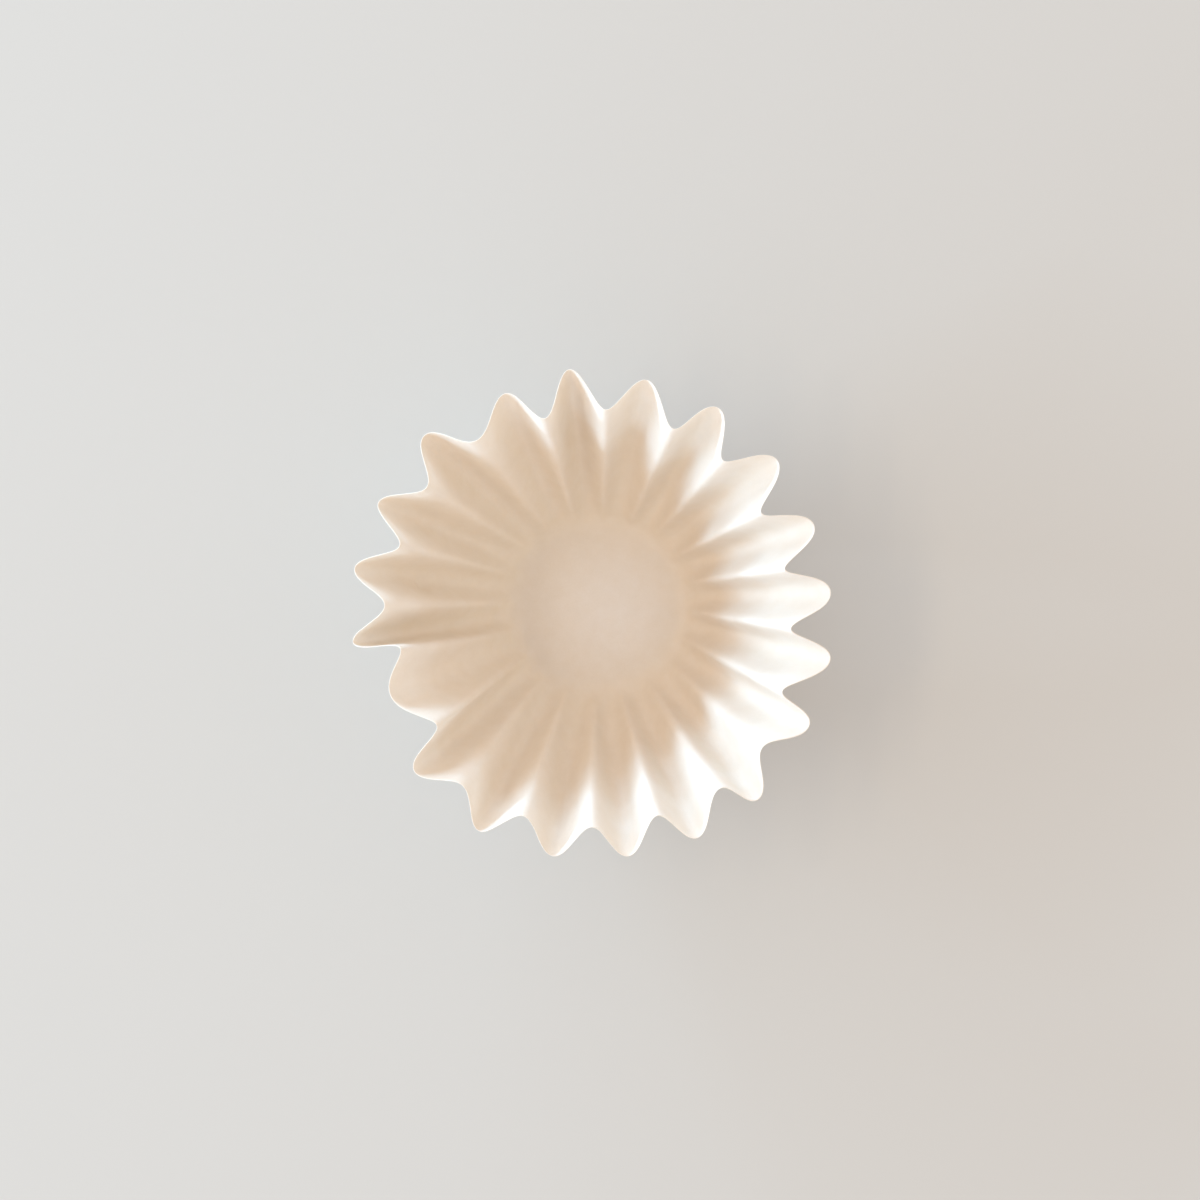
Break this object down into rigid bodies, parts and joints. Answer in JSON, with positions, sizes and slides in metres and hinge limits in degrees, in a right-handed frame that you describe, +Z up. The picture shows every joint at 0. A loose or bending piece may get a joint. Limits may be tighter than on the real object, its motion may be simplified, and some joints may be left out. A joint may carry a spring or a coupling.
{
  "type": "paper coffee filter",
  "caption": "White paper coffee filter with a flat round floor and a deep fluted wall that flares out to a wavy cut edge.",
  "frame": {"origin": "middle of the floor's underside, where the filter rests", "axes": "+Z up out of the mouth, +Y away from the viewer in the picture's top view, +X to the picture's right"},
  "size_m": [0.1219, 0.1245, 0.0633],
  "materials": {
    "filter_paper": "matt, slightly fibrous white filter paper"
  },
  "bodies": {
    "root": {"paper_filter": "filter_paper"}
  },
  "joints": []
}
